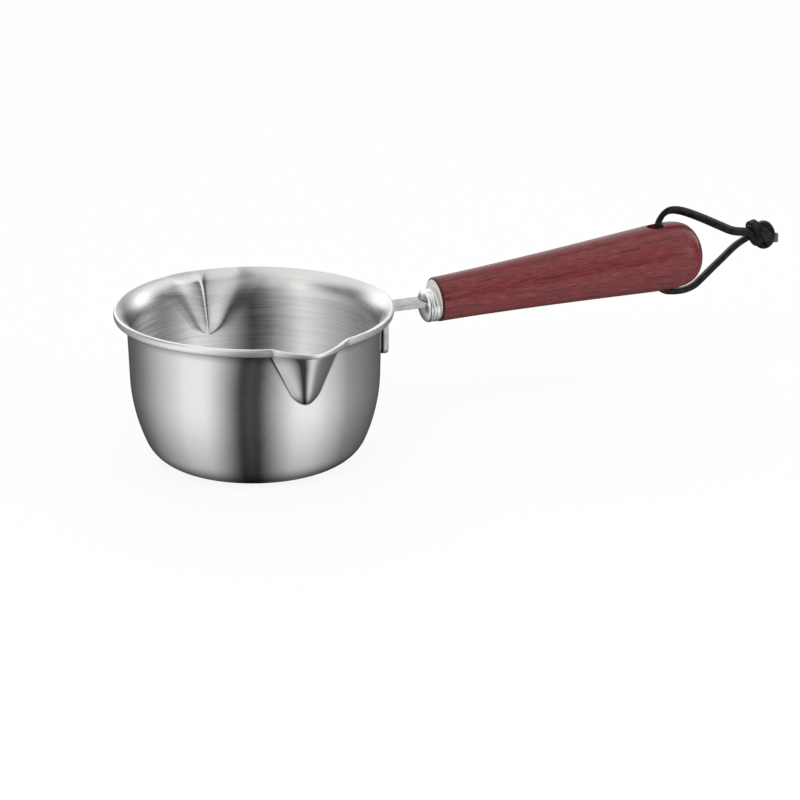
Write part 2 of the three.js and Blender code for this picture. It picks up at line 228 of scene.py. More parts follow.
SETTINGS = {
    "warmer_pan": PanSizes,
    "warmer_strap": StrapSizes,
    "warmer_ferrule": FerruleSizes,
    "warmer_handle": HandleSizes,
    "warmer_lace": LaceSizes,
    "warmer_finish": Finishes,
    "warmer_studio": StudioSizes,
}


# Shapes: values that follow from the sizes

def pan_shape(pan):
    """Centres and heights of the pan's profile."""
    flare_start = pan.rim_height - pan.flare_height
    lip_under = pan.rim_height - pan.lip_drop
    flare_radius = (pan.flare_height - pan.crest_radius
                    + (pan.crest_radius - pan.wall_thickness) * sin(pan.flare_turn))
    flare_radius /= sin(pan.flare_turn) - sin(pan.wall_lean)
    flare_centre = (pan.wall_radius + flare_radius * cos(pan.wall_lean),
                    flare_start - flare_radius * sin(pan.wall_lean))
    crest_at = flare_centre[0] - (flare_radius + pan.wall_thickness - pan.crest_radius) * cos(pan.flare_turn)
    wall_foot = (pan.corner_radius * (1 - sin(pan.belly_turn))
                 + pan.belly_radius * (sin(pan.belly_turn) - sin(pan.wall_lean)))
    foot_radius = pan.wall_radius - (flare_start - wall_foot) * tan(pan.wall_lean)
    belly_centre = (foot_radius - pan.belly_radius * cos(pan.wall_lean),
                    wall_foot + pan.belly_radius * sin(pan.wall_lean))
    corner_at = belly_centre[0] + (pan.belly_radius - pan.corner_radius) * cos(pan.belly_turn)
    return SimpleNamespace(
        flare_start=flare_start, lip_under=lip_under, flare_radius=flare_radius, flare_centre=flare_centre,
        flare_end=asin((lip_under - flare_centre[1]) / flare_radius), crest_at=crest_at,
        wall_foot=wall_foot, foot_radius=foot_radius, belly_centre=belly_centre,
        corner_centre=(corner_at, pan.corner_radius), spout_tip=pan.rim_height - pan.spout_depth,
    )


def arc(centre, radius, start, end, steps):
    """Points of an arc, without its first one."""
    return [(centre[0] + radius * cos(start + (end - start) * i / steps),
             centre[1] + radius * sin(start + (end - start) * i / steps)) for i in range(1, steps + 1)]


def straight(start, end, steps):
    """Points of a line, without its first one."""
    return [(start[0] + (end[0] - start[0]) * i / steps,
             start[1] + (end[1] - start[1]) * i / steps) for i in range(1, steps + 1)]


def sheet_face(pan, shape, inset, flare_end):
    """One face of the sheet as radius and height, from the middle of the base to the end of the flare."""
    lean = pan.wall_lean
    low = (shape.foot_radius - inset * cos(lean), shape.wall_foot + inset * sin(lean))
    high = (pan.wall_radius - inset * cos(lean), shape.flare_start + inset * sin(lean))
    base_edge = (shape.corner_centre[0], inset)
    return [
        (0.0, inset),
        *straight((0.0, inset), base_edge, 8),
        *arc(shape.corner_centre, pan.corner_radius - inset, -pi / 2, -pan.belly_turn, 14),
        *arc(shape.belly_centre, pan.belly_radius - inset, -pan.belly_turn, -lean, 20),
        *straight(low, high, 56),
        *arc(shape.flare_centre, -(shape.flare_radius + inset), -lean, -flare_end, 14),
    ]


def lip_face(pan, shape):
    """Turned-down lip: from its underside round the flat outer band and over the crest."""
    middle = pan.rim_height - pan.lip_drop / 2
    power = 2 / pan.lip_squareness
    steps = 20
    band = []
    for i in range(steps + 1):
        angle = -pi / 2 + pi * i / steps
        rise = sin(angle)
        band.append((shape.crest_at + pan.lip_reach * abs(cos(angle)) ** power,
                     middle + pan.lip_drop / 2 * abs(rise) ** power * (1 if rise > 0 else -1)))
    crest = arc((shape.crest_at, pan.rim_height - pan.crest_radius), pan.crest_radius,
                pi / 2, pi - pan.flare_turn, 6)
    return band + crest[:-1]


def soft_floor(value, softness):
    """The value where it is positive, going softly to 0 where it is negative."""
    return (value + np.sqrt(value ** 2 + softness ** 2)) / 2


def outside_radius(pan, shape, z):
    """Outside radius of the plain wall between the belly and the underside of the lip."""
    flare_reach = np.maximum(shape.flare_radius ** 2 - (z - shape.flare_centre[1]) ** 2, 0)
    flare = shape.flare_centre[0] - np.sqrt(flare_reach)
    wall = pan.wall_radius - (shape.flare_start - z) * tan(pan.wall_lean)
    belly = shape.belly_centre[0] + np.sqrt(pan.belly_radius ** 2 - (z - shape.belly_centre[1]) ** 2)
    return np.where(z >= shape.flare_start, flare, np.where(z >= shape.wall_foot, wall, belly))


def strap_shape(pan, strap, ferrule):
    """Places of the strap's plate, bar and knee."""
    plate_inside = pan.wall_radius + CLEARANCE
    bar_top = pan.rim_height - strap.bar_drop
    return SimpleNamespace(
        plate_inside=plate_inside, bar_top=bar_top, bar_middle=bar_top - strap.thickness / 2,
        knee=plate_inside + strap.bar_length, handle_start=ferrule.start + ferrule.length + CLEARANCE,
    )


def handle_radius(handle, along):
    """Radius of the wood at a distance from its small end."""
    taper = (along / handle.length) ** handle.taper_power
    width = handle.small_diameter + (handle.taper_diameter - handle.small_diameter) * taper
    return width / 2 * sqrt(max(1 - exp((along - handle.length) / handle.end_round), 0))


def tang_slot(name, strap, start, end, matrix):
    """A cutter that leaves room for the strap between two places along the handle."""
    wide, high = strap.width / 2 + CLEARANCE, strap.thickness / 2 + CLEARANCE
    return box(name, (start, -wide, -high), (end, wide, high), matrix)


def handle_matrix(strap, handle):
    """Frame of the handle: X along its axis, with the knee of the strap at the origin."""
    return Matrix.Translation((strap.knee, 0, strap.bar_middle)) @ Matrix.Rotation(-handle.tilt, 4, "Y")


# Meshes

def link_mesh(name, vertices, faces, materials=(), matrix=None):
    """A new smooth object from plain lists."""
    mesh = bpy.data.meshes.new(name)
    mesh.from_pydata([tuple(v) for v in vertices], [], faces)
    mesh.validate()
    mesh.update()
    mesh.shade_smooth()
    for material in materials:
        mesh.materials.append(material)
    piece = bpy.data.objects.new(name, mesh)
    if matrix is not None:
        piece.matrix_world = matrix
    bpy.context.scene.collection.objects.link(piece)
    return piece


def grid_faces(rows, columns, wrap_rows=False):
    """Quads of a grid whose columns close into a ring."""
    faces = []
    for i in range(rows if wrap_rows else rows - 1):
        below, above = i * columns, (i + 1) % rows * columns
        for j in range(columns):
            k = (j + 1) % columns
            faces.append((below + j, below + k, above + k, above + j))
    return faces


def turned(name, profile, segments, materials=(), matrix=None):
    """A profile of (along, radius) turned about X. Its first and last points lie on the axis or meet."""
    on_axis = profile[0][1] == 0
    rings = profile[1:-1] if on_axis else profile
    vertices = []
    for along, radius in rings:
        for j in range(segments):
            angle = 2 * pi * j / segments
            vertices.append((along, radius * cos(angle), radius * sin(angle)))
    faces = grid_faces(len(rings), segments, wrap_rows=not on_axis)
    if on_axis:
        first, last = len(vertices), len(vertices) + 1
        vertices += [(profile[0][0], 0, 0), (profile[-1][0], 0, 0)]
        top = (len(rings) - 1) * segments
        for j in range(segments):
            k = (j + 1) % segments
            faces.append((first, k, j))
            faces.append((last, top + j, top + k))
    return link_mesh(name, vertices, faces, materials, matrix)


def box(name, low, high, matrix=None):
    """A plain box, used as a cutter."""
    corners = [(x, y, z) for x in (low[0], high[0]) for y in (low[1], high[1]) for z in (low[2], high[2])]
    faces = [(0, 1, 3, 2), (4, 6, 7, 5), (0, 4, 5, 1), (2, 3, 7, 6), (0, 2, 6, 4), (1, 5, 7, 3)]
    return link_mesh(name, corners, faces, matrix=matrix)


def extruded(name, outline, place, low, high):
    """An outline given a thickness: place turns (u, v, depth) into a point."""
    count = len(outline)
    vertices = [place(u, v, depth) for depth in (low, high) for u, v in outline]
    faces = [tuple(range(count))[::-1], tuple(range(count, 2 * count))]
    faces += [(i, (i + 1) % count, count + (i + 1) % count, count + i) for i in range(count)]
    return link_mesh(name, vertices, faces)


def combine(piece, tools, operation):
    """Cuts the tools out of a piece, or joins them to it, and removes them."""
    for tool in tools:
        modifier = piece.modifiers.new(tool.name, "BOOLEAN")
        modifier.object = tool
        modifier.operation = operation
        modifier.solver = "EXACT"
    settle(piece)
    for tool in tools:
        bpy.data.objects.remove(tool)


def settle(piece):
    """Turns a piece's modifiers into its mesh."""
    bpy.context.view_layer.update()
    shown = piece.evaluated_get(bpy.context.evaluated_depsgraph_get())
    mesh = bpy.data.meshes.new_from_object(shown)
    piece.modifiers.clear()
    piece.data = mesh


def crease(piece, degrees):
    """Smooth shading with sharp edges where faces meet at more than an angle."""
    piece.data.shade_smooth()
    piece.data.set_sharp_from_angle(angle=radians(degrees))


def curve_through(points, steps):
    """A smooth line through points, with some steps between each two."""
    points = [np.array(p, float) for p in points]
    ends = [2 * points[0] - points[1], *points, 2 * points[-1] - points[-2]]
    line = []
    for before, start, end, after in zip(ends, ends[1:], ends[2:], ends[3:]):
        for i in range(steps):
            t = i / steps
            line.append(0.5 * (2 * start + (end - before) * t
                               + (2 * before - 5 * start + 4 * end - after) * t ** 2
                               + (3 * start - before - 3 * end + after) * t ** 3))
    return np.array([*line, points[-1]])


def rounded_section(width, thickness, corner):
    """Outline of a flat lace with rounded edges."""
    outline = []
    for quarter, (side_u, side_v) in enumerate(((1, 1), (-1, 1), (-1, -1), (1, -1))):
        centre = (side_u * (width / 2 - corner), side_v * (thickness / 2 - corner))
        for i in range(4):
            angle = (quarter + i / 3) * pi / 2
            outline.append((centre[0] + corner * cos(angle), centre[1] + corner * sin(angle)))
    return outline


def swept(name, line, section, across, materials, matrix, closed=False):
    """A section carried along a line. across gives, at each point, the direction of the section's width."""
    count = len(line)
    vertices = []
    for i, point in enumerate(line):
        after = line[(i + 1) % count] if closed else line[min(i + 1, count - 1)]
        before = line[i - 1] if closed else line[max(i - 1, 0)]
        along = after - before
        along = along / np.linalg.norm(along)
        side = np.array(across(i, point), float)
        side = side - along * (side @ along)
        side = side / np.linalg.norm(side)
        rise = np.cross(along, side)
        vertices += [point + side * u + rise * v for u, v in section]
    sides = len(section)
    faces = grid_faces(count, sides, wrap_rows=closed)
    if not closed:
        faces.append(tuple(range(sides))[::-1])
        faces.append(tuple(range(len(vertices) - sides, len(vertices))))
    piece = link_mesh(name, vertices, faces, materials, matrix)
    if not closed:
        crease(piece, 50)
    return piece


# Materials

def new_material(name):
    """An empty material and its output."""
    material = bpy.data.materials.new(name)
    material.use_nodes = True
    tree = material.node_tree
    tree.nodes.clear()
    return material, tree


def node(tree, kind, links=(), sockets=(), stops=(), **settings):
    """Adds a node with its links, its constant inputs (sockets), the stops of its ramp and its settings."""
    made = tree.nodes.new(kind)
    for key, value in settings.items():
        setattr(made, key, value)
    for key, value in dict(sockets).items():
        made.inputs[key].default_value = value
    for key, source in dict(links).items():
        tree.links.new(source, made.inputs[key])
    if stops:
        elements = made.color_ramp.elements
        while len(elements) < len(stops):
            elements.new(0.5)
        for element, (place, value) in zip(elements, stops):
            element.position = place
            element.color = (*value, 1)
    return made


def rings_vector(tree, around, along):
    """Coordinates that run slowly round the pan and fast along its profile, for lines left by spinning."""
    place = node(tree, "ShaderNodeTexCoord").outputs["Object"]
    axes = node(tree, "ShaderNodeSeparateXYZ", {"Vector": place}).outputs
    flat = node(tree, "ShaderNodeCombineXYZ", {"X": axes["X"], "Y": axes["Y"]})
    reach = node(tree, "ShaderNodeVectorMath", {0: flat.outputs["Vector"]},
                 operation="LENGTH").outputs["Value"]
    travel = node(tree, "ShaderNodeMath", {0: reach, 1: axes["Z"]}, operation="ADD").outputs["Value"]
    lines = node(tree, "ShaderNodeMath", {0: travel}, {1: along}, operation="MULTIPLY").outputs["Value"]
    slow = node(tree, "ShaderNodeVectorMath", {0: flat.outputs["Vector"]}, {"Scale": around},
                operation="SCALE")
    slow_axes = node(tree, "ShaderNodeSeparateXYZ", {"Vector": slow.outputs["Vector"]}).outputs
    return node(tree, "ShaderNodeCombineXYZ",
                {"X": slow_axes["X"], "Y": slow_axes["Y"], "Z": lines}).outputs["Vector"]


def mixed(value, other, amount):
    """A colour between two."""
    return tuple(a + (b - a) * amount for a, b in zip(value, other))


def spun_steel(name, tone, roughness, line_gap, line_depth, anisotropy, contrast):
    """Stainless steel worked on a lathe: metal that mirrors softly, drawn out across its fine rings."""
    streak_length = 0.025
    material, tree = new_material(name)
    vector = rings_vector(tree, 1 / streak_length, 1 / line_gap)
    lines = node(tree, "ShaderNodeTexNoise", {"Vector": vector},
                 {"Scale": 1.0, "Detail": 3.0, "Roughness": 0.65})
    value = lines.outputs["Fac"]
    tones = node(tree, "ShaderNodeValToRGB", {"Fac": value},
                 stops=((0.3, mixed(tone, (0, 0, 0), contrast)), (0.7, tone))).outputs["Color"]
    gloss = node(tree, "ShaderNodeMapRange", {"Value": value},
                 {"From Min": 0.3, "From Max": 0.7, "To Min": roughness * 0.85, "To Max": roughness * 1.2})
    bump = node(tree, "ShaderNodeBump", {"Height": value}, {"Strength": 1.0, "Distance": line_depth})
    tangent = node(tree, "ShaderNodeTangent", direction_type="RADIAL", axis="Z")
    steel = node(tree, "ShaderNodeBsdfPrincipled",
                 {"Base Color": tones, "Roughness": gloss.outputs["Result"], "Normal": bump.outputs["Normal"],
                  "Tangent": tangent.outputs["Tangent"]},
                 {"Metallic": 1.0, "Anisotropic": anisotropy, "Anisotropic Rotation": 0.25})
    node(tree, "ShaderNodeOutputMaterial", {"Surface": steel.outputs["BSDF"]})
    return material


def pressed_steel(name, tone, roughness, grain, grain_depth):
    """Stainless strip as it leaves the press: satin, with a fine grain and faint scuffs."""
    scuff = grain / 0.12
    material, tree = new_material(name)
    place = node(tree, "ShaderNodeTexCoord").outputs["Object"]
    fine = node(tree, "ShaderNodeTexNoise", {"Vector": place}, {"Scale": 1 / grain, "Detail": 4.0})
    scuffs = node(tree, "ShaderNodeTexNoise", {"Vector": place}, {"Scale": 1 / scuff, "Detail": 2.0})
    tones = node(tree, "ShaderNodeValToRGB", {"Fac": scuffs.outputs["Fac"]},
                 stops=((0.35, mixed(tone, (0, 0, 0), 0.14)), (0.65, tone))).outputs["Color"]
    gloss = node(tree, "ShaderNodeMapRange", {"Value": scuffs.outputs["Fac"]},
                 {"From Min": 0.3, "From Max": 0.7, "To Min": roughness * 1.2, "To Max": roughness * 0.85})
    bump = node(tree, "ShaderNodeBump", {"Height": fine.outputs["Fac"]},
                {"Strength": 1.0, "Distance": grain_depth})
    steel = node(tree, "ShaderNodeBsdfPrincipled",
                 {"Base Color": tones, "Roughness": gloss.outputs["Result"],
                  "Normal": bump.outputs["Normal"]}, {"Metallic": 1.0})
    node(tree, "ShaderNodeOutputMaterial", {"Surface": steel.outputs["BSDF"]})
    return material


def lacquered_wood(finish):
    """Red hardwood, turned and lacquered: dark growth lines and short flecks under a thin clear coat."""
    streak_width = 0.0015
    fleck_width = 0.0004
    wander_length = 1 / 18  # the grain bends over about 56 mm
    fibre_length = 12  # streaks and flecks are this many times longer than wide
    material, tree = new_material("Rosewood, turned and lacquered")
    place = node(tree, "ShaderNodeTexCoord").outputs["Object"]
    drawn = node(tree, "ShaderNodeMapping", {"Vector": place},
                 {"Scale": (1 / fibre_length, 1, 1)}).outputs["Vector"]
    wander = node(tree, "ShaderNodeTexNoise", {"Vector": place}, {"Scale": 1 / wander_length, "Detail": 1.0})
    bent = node(tree, "ShaderNodeMix", {"A": drawn, "B": wander.outputs["Color"]}, {"Factor": 0.004},
                data_type="VECTOR").outputs[1]
    streaks = node(tree, "ShaderNodeTexNoise", {"Vector": bent},
                   {"Scale": 1 / streak_width, "Detail": 2.0, "Roughness": 0.5}).outputs["Fac"]
    flecks = node(tree, "ShaderNodeTexNoise", {"Vector": drawn},
                  {"Scale": 1 / fleck_width, "Detail": 2.0, "Roughness": 0.6}).outputs["Fac"]
    ground = node(tree, "ShaderNodeValToRGB", {"Fac": streaks},
                  stops=((0.27, finish.wood_dark), (0.42, finish.wood), (0.6, finish.wood),
                         (0.76, finish.wood_light))).outputs["Color"]
    flecked = node(tree, "ShaderNodeValToRGB", {"Fac": flecks},
                   stops=((0.3, (0.58, 0.53, 0.53)), (0.45, (0.97, 0.97, 0.97)), (0.55, (1, 1, 1)),
                          (0.68, (1.6, 1.7, 1.7)))).outputs["Color"]
    tones = node(tree, "ShaderNodeMix", {"A": ground, "B": flecked}, {"Factor": 1.0}, data_type="RGBA",
                 blend_type="MULTIPLY").outputs[2]
    bump = node(tree, "ShaderNodeBump", {"Height": flecks}, {"Strength": 0.3, "Distance": 0.00004})
    wood = node(tree, "ShaderNodeBsdfPrincipled", {"Base Color": tones, "Normal": bump.outputs["Normal"]},
                {"Roughness": 0.45, "Specular IOR Level": 0.08, "Coat Weight": 0.5, "Coat Roughness": 0.06})
    node(tree, "ShaderNodeOutputMaterial", {"Surface": wood.outputs["BSDF"]})
    return material


def end_grain(name, tone, roughness):
    """Cut wood seen from its end: fine pores, about a third of a millimetre across, and no coat."""
    pore = 0.0003
    material, tree = new_material(name)
    place = node(tree, "ShaderNodeTexCoord").outputs["Object"]
    pores = node(tree, "ShaderNodeTexNoise", {"Vector": place},
                 {"Scale": 1 / pore, "Detail": 2.0}).outputs["Fac"]
    tones = node(tree, "ShaderNodeValToRGB", {"Fac": pores},
                 stops=((0.3, mixed(tone, (0, 0, 0), 0.2)), (0.5, tone))).outputs["Color"]
    wood = node(tree, "ShaderNodeBsdfPrincipled", {"Base Color": tones}, {"Roughness": roughness})
    node(tree, "ShaderNodeOutputMaterial", {"Surface": wood.outputs["BSDF"]})
    return material


def dyed_leather(name, tone, roughness):
    """Leather lace: a pebbled grain about half a millimetre across, matt, a little paler where it is worn."""
    grain, worn_patch = 0.0005, 0.0025
    material, tree = new_material(name)
    place = node(tree, "ShaderNodeTexCoord").outputs["Object"]
    pebbles = node(tree, "ShaderNodeTexVoronoi", {"Vector": place}, {"Scale": 1 / grain}).outputs["Distance"]
    wear = node(tree, "ShaderNodeTexNoise", {"Vector": place},
                {"Scale": 1 / worn_patch, "Detail": 3.0}).outputs["Fac"]
    tones = node(tree, "ShaderNodeValToRGB", {"Fac": wear},
                 stops=((0.35, tone), (0.7, mixed(tone, (0.12, 0.12, 0.12), 0.13)))).outputs["Color"]
    bump = node(tree, "ShaderNodeBump", {"Height": pebbles}, {"Strength": 0.4, "Distance": 0.0001},
                invert=True)
    leather = node(tree, "ShaderNodeBsdfPrincipled", {"Base Color": tones, "Normal": bump.outputs["Normal"]},
                   {"Roughness": roughness, "Specular IOR Level": 0.19})
    node(tree, "ShaderNodeOutputMaterial", {"Surface": leather.outputs["BSDF"]})
    return material


# Pieces

class WARMER_OT_pan(Operator):
    """Add the drawn pan with its two pressed spouts"""

    bl_idname = "warmer.pan"
    bl_label = "Pan"

    def execute(self, context):
        pan = context.scene.warmer_pan
        finish = context.scene.warmer_finish
        shape = pan_shape(pan)
        outside = sheet_face(pan, shape, 0.0, shape.flare_end)
        lip = lip_face(pan, shape)
        inside = sheet_face(pan, shape, pan.wall_thickness, pan.flare_turn)[::-1]
        rows = np.array(outside[1:] + lip + inside[:-1])
        outer_rows = len(outside) - 1 + len(lip)
        flare_rows = sum(1 for radius, z in inside if z > pan.rim_height - pan.buffed_height)
        zones = [0] * (len(outside) - 1) + [1] * len(lip) + [2] * flare_rows
        zones += [3] * (len(rows) - len(zones))
        skin = self.skin(pan, shape, rows, outer_rows)
        count, columns = skin.shape[:2]
        vertices = [*skin.reshape(-1, 3), (0, 0, 0), (0, 0, pan.wall_thickness)]
        faces = grid_faces(count, columns)
        face_zones = [zones[i] for i in range(count - 1) for _ in range(columns)]
        under, floor = count * columns, count * columns + 1
        last = (count - 1) * columns
        for j in range(columns):
            k = (j + 1) % columns
            faces += [(under, k, j), (floor, last + j, last + k)]
            face_zones += [0, 3]

        materials = [
            spun_steel("Stainless steel, polished outside", finish.steel, roughness=0.17, line_gap=0.0005,
                       line_depth=0.000001, anisotropy=0.55, contrast=0.03),
            # the lip's rougher finish is its own; its lighter tone is a painted highlight
            spun_steel("Stainless steel, rolled lip", finish.lip, roughness=0.4, line_gap=0.0004,
                       line_depth=0.000001, anisotropy=0.0, contrast=0.03),
            spun_steel("Stainless steel, buffed rim", finish.steel, roughness=0.28, line_gap=0.0009,
                       line_depth=0.000002, anisotropy=0.9, contrast=0.18),
            spun_steel("Stainless steel, brushed inside", finish.steel, roughness=0.31, line_gap=0.0009,
                       line_depth=0.000003, anisotropy=0.96, contrast=0.28),
        ]
        piece = link_mesh("pan", vertices, faces, materials)
        piece.data.polygons.foreach_set("material_index", face_zones)
        piece.visible_glossy = False
        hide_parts("pan_body")
        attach(piece, PAN_BODY)
        return {"FINISHED"}

    def skin(self, pan, shape, rows, outer_rows):
        """Points of each row round the pan: a spout, a plain side, the other spout and the other side."""
        overhang = 1.6  # the columns of a spout reach this many half widths of its V to either side
        across = np.linspace(-overhang, overhang, 65)
        plain = np.linspace(0, 1, 64)[1:-1]
        z = rows[:, 1][:, None]
        half = self.half_width(pan, shape, z)
        pressed = self.pressed(pan, shape, z, across, half, outer_rows)
        push = self.push(pan, shape, z)
        lift = self.lift(pan, shape, z, outer_rows)
        rise = np.clip((z - shape.spout_tip) / pan.spout_depth, 0, 1)
        flared = rise ** 2
        rings = []
        for axis in (-pi / 2 + pan.spout_turn, pi / 2 + pan.spout_turn):
            away = across * half
            radius = rows[:, 0][:, None] + flared * self.swell(pan, away)
            nose, aim = push * pressed, axis + away + pan.spout_skew
            height = z - (pan.spout_dip * rise - lift) * pressed
            rings.append(np.stack([radius * np.cos(axis + away) + nose * np.cos(aim),
                                   radius * np.sin(axis + away) + nose * np.sin(aim), height], -1))
            edge = overhang * half
            away = edge + plain * (pi - 2 * edge)
            radius = rows[:, 0][:, None] + flared * self.swell(pan, np.minimum(away, pi - away))
            rings.append(np.stack([radius * np.cos(axis + away), radius * np.sin(axis + away),
                                   z + 0 * away], -1))
        return np.concatenate(rings, axis=1)

    def half_width(self, pan, shape, z):
        """Half of the V's width at each height, as an angle about Z."""
        tip_half = asin(pan.spout_tip_width / 2 / pan.wall_radius)
        mouth_half = asin(pan.spout_mouth / 2 / (shape.crest_at + pan.lip_reach))
        above = np.abs(z - shape.spout_tip)
        widening = np.minimum(above / (pan.spout_depth - pan.spout_shoulder), 1)
        return tip_half + (mouth_half - tip_half) * widening

    def pressed(self, pan, shape, z, across, half, outer_rows):
        """Share of the nose's reach that each point takes: 1 on the ridge, 0 beyond the borders of the V."""
        narrowest, roundest = 0.02, 0.8  # bounds that keep the point of the V open and its ridge a ridge
        height = np.clip((z - shape.spout_tip) / pan.spout_tip_round, narrowest, 1)
        narrowing = np.sqrt(1 - (1 - height) ** 2)
        beside = across - pan.spout_lean
        leaning = np.where(beside < 0, beside / (1 + pan.spout_lean), beside / (1 - pan.spout_lean))
        inner = np.arange(len(z))[:, None] >= outer_rows
        sharpness = np.where(inner, np.clip((pan.rim_height - z) / pan.spout_crease_depth, 0, 1), 0)
        ridge_width = pan.spout_ridge + (pan.spout_crease - pan.spout_ridge) * sharpness
        fillet = pan.spout_fillet + (pan.spout_inner_fillet - pan.spout_fillet) * sharpness
        inset = pan.spout_inner_set * sharpness
        ridge = np.minimum(ridge_width / (half * pan.wall_radius), roundest)
        rounded = np.hypot(leaning / narrowing, ridge) - ridge
        fold = 1 - rounded / (np.hypot(1, ridge) - ridge)
        outer_edge = soft_floor(np.maximum(fold[:, :1], fold[:, -1:]) - inset, fillet)
        reached = np.maximum(soft_floor(fold - inset, fillet) - outer_edge, 0)
        return reached / (soft_floor(1 - inset, fillet) - outer_edge)

    def push(self, pan, shape, z):
        """How far the ridge of a spout stands outside the plain wall at each height."""
        above = z - shape.spout_tip
        steady = np.clip(above / (shape.lip_under - shape.spout_tip), 0, 1)
        quick = 1 - np.exp(-np.maximum(above, 0) / (pan.spout_tip_round / 2))
        climb = (1 - pan.spout_start) * steady + pan.spout_start * quick
        tip_radius = outside_radius(pan, shape, np.array(shape.spout_tip))
        lip_radius = outside_radius(pan, shape, np.array(shape.lip_under))
        ridge = tip_radius + (lip_radius + pan.spout_reach - tip_radius) * climb
        level = np.clip(z, shape.spout_tip, shape.lip_under)
        return np.where(above > 0, np.maximum(ridge - outside_radius(pan, shape, level), 0), 0)

    def lift(self, pan, shape, z, outer_rows):
        """How far the outer face rises at a nose: most at the underside of the lip, nothing at the crest."""
        lift = np.zeros_like(z)
        for i in range(outer_rows):
            if z[i, 0] > shape.flare_start:
                under = (z[i, 0] - shape.flare_start) / (shape.lip_under - shape.flare_start)
                lift[i, 0] = pan.nose_lip_lift * min(under ** 2, (pan.rim_height - z[i, 0]) / pan.lip_drop)
        return lift

    def swell(self, pan, away):
        """Bulge of the rim at an angle away from a spout."""
        near = np.clip(np.abs(away) / pan.rim_swell_reach, 0, 1)
        return pan.rim_swell * (0.5 + 0.5 * np.cos(pi * near))


class WARMER_OT_strap(Operator):
    """Add the bent strap with its plate, bar and tang"""

    bl_idname = "warmer.strap"
    bl_label = "Strap"

    def execute(self, context):
        scene = context.scene
        strap, handle = scene.warmer_strap, scene.warmer_handle
        places = strap_shape(scene.warmer_pan, strap, scene.warmer_ferrule)
        reach = strap.bend + strap.thickness
        bend = (places.plate_inside + reach, places.bar_top - reach)
        foot = bend[1] - strap.thickness
        half = strap.thickness / 2
        mitre = half * tan(handle.tilt / 2)
        tip = Vector((cos(handle.tilt), sin(handle.tilt))) * strap.tang_length
        side = Vector((-sin(handle.tilt), cos(handle.tilt))) * half
        knee = Vector((places.knee, places.bar_middle))
        bar = [
            (places.plate_inside, foot), (places.plate_inside, bend[1]),
            *arc(bend, reach, pi, pi / 2, 8),
            (places.knee - mitre, places.bar_top), tuple(knee + tip + side), tuple(knee + tip - side),
            (places.knee + mitre, places.bar_top - strap.thickness),
            (bend[0], places.bar_top - strap.thickness),
            *arc(bend, strap.bend, pi / 2, pi, 8),
            (places.plate_inside + strap.thickness, foot),
        ]
        piece = extruded("strap", bar, lambda u, v, depth: (u, depth, v), strap.width / 2, -strap.width / 2)
        wide, low = strap.plate_width / 2, places.bar_top - strap.plate_height
        corner = strap.plate_corner
        plate = [
            (wide, bend[1]), (-wide, bend[1]), (-wide, low + corner),
            *arc((-wide + corner, low + corner), corner, pi, 1.5 * pi, 10),
            (wide - corner, low),
            *arc((wide - corner, low + corner), corner, -0.5 * pi, 0, 10),
        ]
        face = places.plate_inside + strap.thickness
        added = extruded("strap_plate", plate, lambda u, v, depth: (depth, u, v), places.plate_inside, face)
        combine(piece, [added], "UNION")
        weld_radius = (strap.weld_diameter ** 2 / 4 + strap.weld_depth ** 2) / (2 * strap.weld_depth)
        steps, ball_turn = 24, pi / 6
        ball = [(-weld_radius * cos(ball_turn * i / steps), weld_radius * sin(ball_turn * i / steps))
                for i in range(steps + 1)]
        weld_level = places.bar_top - strap.weld_height
        dents = []
        for spread in (-strap.weld_spread, strap.weld_spread):
            centre = Vector((face + weld_radius - strap.weld_depth, spread, weld_level))
            dents.append(turned("weld_dent", [*ball, (0, ball[-1][1]), (0, 0)], 32,
                                matrix=Matrix.Translation(centre)))
        combine(piece, dents, "DIFFERENCE")
        rounding = piece.modifiers.new("blanked edges", "BEVEL")
        rounding.width = strap.edge
        rounding.segments = 3
        rounding.limit_method = "ANGLE"
        rounding.angle_limit = radians(50)
        rounding.use_clamp_overlap = True
        settle(piece)
        crease(piece, 40)
        piece.data.materials.clear()
        finish = scene.warmer_finish
        piece.data.materials.append(pressed_steel("Stainless strip, blanked and bent", finish.strip,
                                                  roughness=0.3, grain=0.0004, grain_depth=0.00001))
        # the second material is painted shade, dark and rough, on the plate's faces towards the wall
        piece.data.materials.append(pressed_steel("Stainless strip, painted gap shade", finish.scale,
                                                  roughness=0.7, grain=0.0004, grain_depth=0.00001))
        backwards = -0.9  # faces whose normals point back at the wall carry painted shade, a dark colour for the shadow in the gap between plate and wall
        for polygon in piece.data.polygons:
            in_painted_gap_shade = polygon.normal.x < backwards and polygon.center.z < foot
            polygon.material_index = 1 if in_painted_gap_shade else 0
        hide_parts("handle_strap")
        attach(piece, PAN_BODY)
        return {"FINISHED"}


